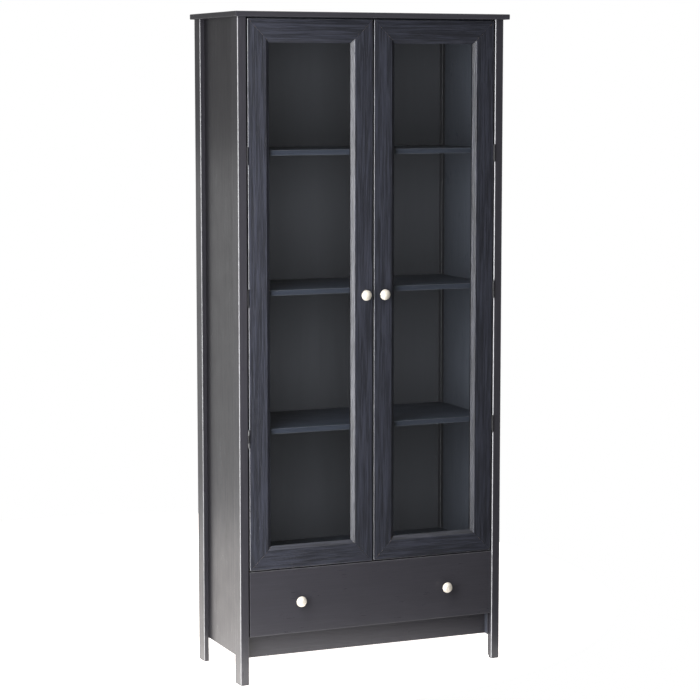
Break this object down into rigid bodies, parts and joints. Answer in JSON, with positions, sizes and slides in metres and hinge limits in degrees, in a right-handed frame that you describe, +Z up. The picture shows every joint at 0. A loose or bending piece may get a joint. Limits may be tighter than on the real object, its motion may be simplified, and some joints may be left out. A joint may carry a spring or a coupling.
{
  "type": "glazed display cabinet",
  "caption": "Tall floor-standing display cabinet on corner legs, with glazed doors over shelves and a wide drawer below.",
  "frame": {"origin": "on the floor, under the middle of the cabinet's bounding box", "axes": "+Z up, -Y out of the doors and the drawer (the front), +X to the right of a person who faces the cabinet"},
  "size_m": [0.845, 0.386, 1.9],
  "materials": {
    "carcass_foil": "blue-black wood-grain foil on particle board, satin",
    "door_foil": "blue-black embossed wood-grain foil on moulded frame, satin",
    "inner_foil": "dark foil on particle board, matt",
    "hardboard": "dark printed hardboard, matt",
    "glass": "clear flat glass",
    "satin_nickel": "satin nickel plating",
    "zinc_steel": "zinc-plated steel",
    "black_plastic": "black moulded plastic"
  },
  "bodies": {
    "carcass": {"back_joint_strip": "black_plastic", "base_board": "inner_foil", "bottom_board": "inner_foil", "front_left_leg": "carcass_foil", "front_right_leg": "carcass_foil", "left_cabinet_runner": "zinc_steel", "left_lower_hinge_leg_leaf": "zinc_steel", "left_middle_hinge_leg_leaf": "zinc_steel", "left_side_panel": "carcass_foil", "left_upper_hinge_leg_leaf": "zinc_steel", "lower_back_panel": "hardboard", "lower_shelf": "inner_foil", "middle_shelf": "inner_foil", "plinth_rail": "carcass_foil", "rear_left_leg": "carcass_foil", "rear_right_leg": "carcass_foil", "right_cabinet_runner": "zinc_steel", "right_lower_hinge_leg_leaf": "zinc_steel", "right_middle_hinge_leg_leaf": "zinc_steel", "right_side_panel": "carcass_foil", "right_upper_hinge_leg_leaf": "zinc_steel", "top_board": "carcass_foil", "top_stretcher": "inner_foil", "twin_door_catch": "black_plastic", "upper_back_panel": "hardboard", "upper_shelf": "inner_foil"},
    "left_door": {"left_door_bottom_rail": "door_foil", "left_door_glass": "glass", "left_door_hinge_stile": "door_foil", "left_door_knob": "satin_nickel", "left_door_knob_screw": "zinc_steel", "left_door_meeting_stile": "door_foil", "left_door_strike_plate": "zinc_steel", "left_door_top_rail": "door_foil", "left_lower_hinge_door_leaf": "zinc_steel", "left_middle_hinge_door_leaf": "zinc_steel", "left_upper_hinge_door_leaf": "zinc_steel"},
    "right_door": {"right_door_bottom_rail": "door_foil", "right_door_glass": "glass", "right_door_hinge_stile": "door_foil", "right_door_knob": "satin_nickel", "right_door_knob_screw": "zinc_steel", "right_door_meeting_stile": "door_foil", "right_door_strike_plate": "zinc_steel", "right_door_top_rail": "door_foil", "right_lower_hinge_door_leaf": "zinc_steel", "right_middle_hinge_door_leaf": "zinc_steel", "right_upper_hinge_door_leaf": "zinc_steel"},
    "drawer": {"drawer_back": "inner_foil", "drawer_bottom": "hardboard", "drawer_front": "carcass_foil", "drawer_left_knob": "satin_nickel", "drawer_left_knob_screw": "zinc_steel", "drawer_left_side": "inner_foil", "drawer_right_knob": "satin_nickel", "drawer_right_knob_screw": "zinc_steel", "drawer_right_side": "inner_foil", "left_drawer_runner": "zinc_steel", "right_drawer_runner": "zinc_steel"}
  },
  "joints": [
    {"name": "left_door_hinge", "type": "hinge", "parent": "carcass", "child": "left_door", "pos_m": [-0.383, -0.1662, 1.105], "axis": [0, 0, -1], "range_deg": [0, 110]},
    {"name": "right_door_hinge", "type": "hinge", "parent": "carcass", "child": "right_door", "pos_m": [0.383, -0.1662, 1.105], "axis": [0, 0, 1], "range_deg": [0, 110]},
    {"name": "drawer_slide", "type": "slide", "parent": "carcass", "child": "drawer", "axis": [0, -1, 0], "range_m": [0, 0.22]}
  ]
}
